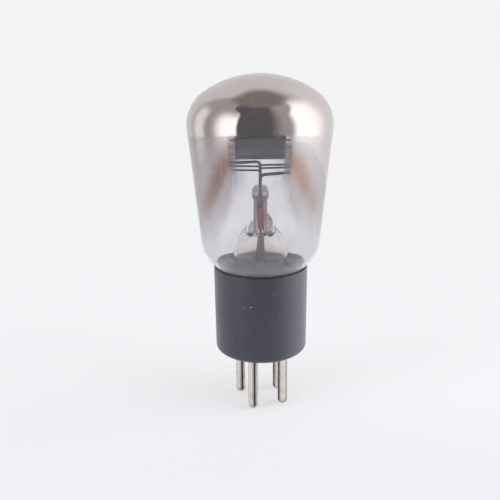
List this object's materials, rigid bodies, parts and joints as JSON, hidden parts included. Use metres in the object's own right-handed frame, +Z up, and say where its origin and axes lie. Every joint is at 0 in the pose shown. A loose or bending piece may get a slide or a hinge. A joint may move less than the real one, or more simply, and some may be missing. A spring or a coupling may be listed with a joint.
{
  "type": "triode tube",
  "caption": "Antique glass radio valve: pear-shaped bulb with a mirrored dome, pinched glass stem, horizontal electrodes and a dark moulded base with pins.",
  "frame": {"origin": "on the bulb's axis, level with the tips of the pins", "axes": "+Z up along the bulb's axis, +X to the right and -Y towards the viewer of the picture"},
  "size_m": [0.045, 0.045, 0.1075],
  "materials": {
    "bulb_glass": "clear blown glass",
    "mirror_film": "vaporised getter metal, mirror bright",
    "cement": null,
    "base_moulding": "moulded thermoset, satin",
    "stem_glass": "clear lead glass",
    "pin_nickel": "worn bright nickel plate",
    "solder": null,
    "lead_copper": null,
    "seal_copper": null,
    "support_nickel": "darkened nickel wire",
    "anode_sheet": "darkened nickel sheet",
    "grid_wire": null,
    "filament_wire": null
  },
  "bodies": {
    "root": {"bulb": "bulb_glass", "getter_mirror": "mirror_film", "cement_ring": "cement", "base_shell": "base_moulding", "stem": "stem_glass", "exhaust_tube": "stem_glass", "pin_anode": "pin_nickel", "pin_grid": "pin_nickel", "pin_filament_a": "pin_nickel", "pin_filament_b": "pin_nickel", "solder_anode": "solder", "solder_grid": "solder", "solder_filament_a": "solder", "solder_filament_b": "solder", "lead_anode": "lead_copper", "lead_grid": "lead_copper", "lead_filament_a": "lead_copper", "lead_filament_b": "lead_copper", "seal_anode": "seal_copper", "seal_grid": "seal_copper", "seal_filament_a": "seal_copper", "seal_filament_b": "seal_copper", "anode_support_right": "support_nickel", "anode_support_left": "support_nickel", "grid_support_right": "support_nickel", "grid_support_left": "support_nickel", "filament_support_left": "support_nickel", "filament_support_right": "support_nickel", "anode": "anode_sheet", "grid_winding": "grid_wire", "grid_rod_lower": "grid_wire", "grid_rod_upper": "grid_wire", "filament": "filament_wire", "getter_cup": "support_nickel"}
  },
  "joints": []
}
